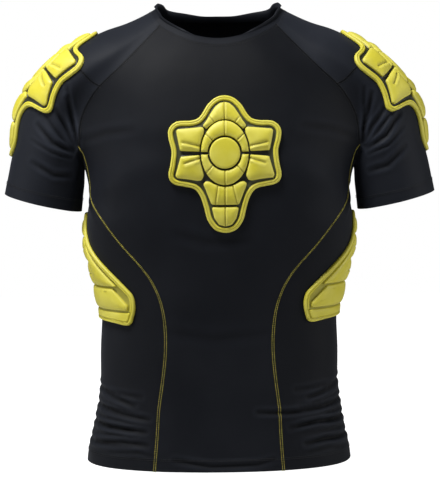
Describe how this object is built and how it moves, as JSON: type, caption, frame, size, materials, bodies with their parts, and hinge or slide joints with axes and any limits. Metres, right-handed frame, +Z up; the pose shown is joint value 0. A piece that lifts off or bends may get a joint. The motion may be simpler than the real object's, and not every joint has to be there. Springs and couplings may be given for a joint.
{
  "type": "padded compression shirt",
  "caption": "Short-sleeved stretch shirt in its worn hollow shape, with raglan sleeves, curved side panels and shaped foam pads on the chest, shoulders and ribs.",
  "frame": {"origin": "middle of the neck base, between the two neck points, where the collar line rests on the shoulders", "axes": "+Z up, -Y towards the front of the shirt, +X towards the wearer's left sleeve"},
  "size_m": [0.623, 0.2537, 0.6606],
  "materials": {
    "jersey": "matt black knitted stretch jersey",
    "foam": "moulded yellow-olive closed-cell foam with a soft sheen"
  },
  "bodies": {
    "root": {"front_panel": "jersey", "back_panel": "jersey", "side_panel_left": "jersey", "side_panel_right": "jersey", "sleeve_left": "jersey", "sleeve_right": "jersey", "shoulder_yoke_left": "jersey", "shoulder_yoke_right": "jersey", "collar": "jersey", "chest_pad": "foam", "shoulder_pad_left": "foam", "shoulder_pad_right": "foam", "side_pad_left": "foam", "side_pad_right": "foam"}
  },
  "joints": []
}
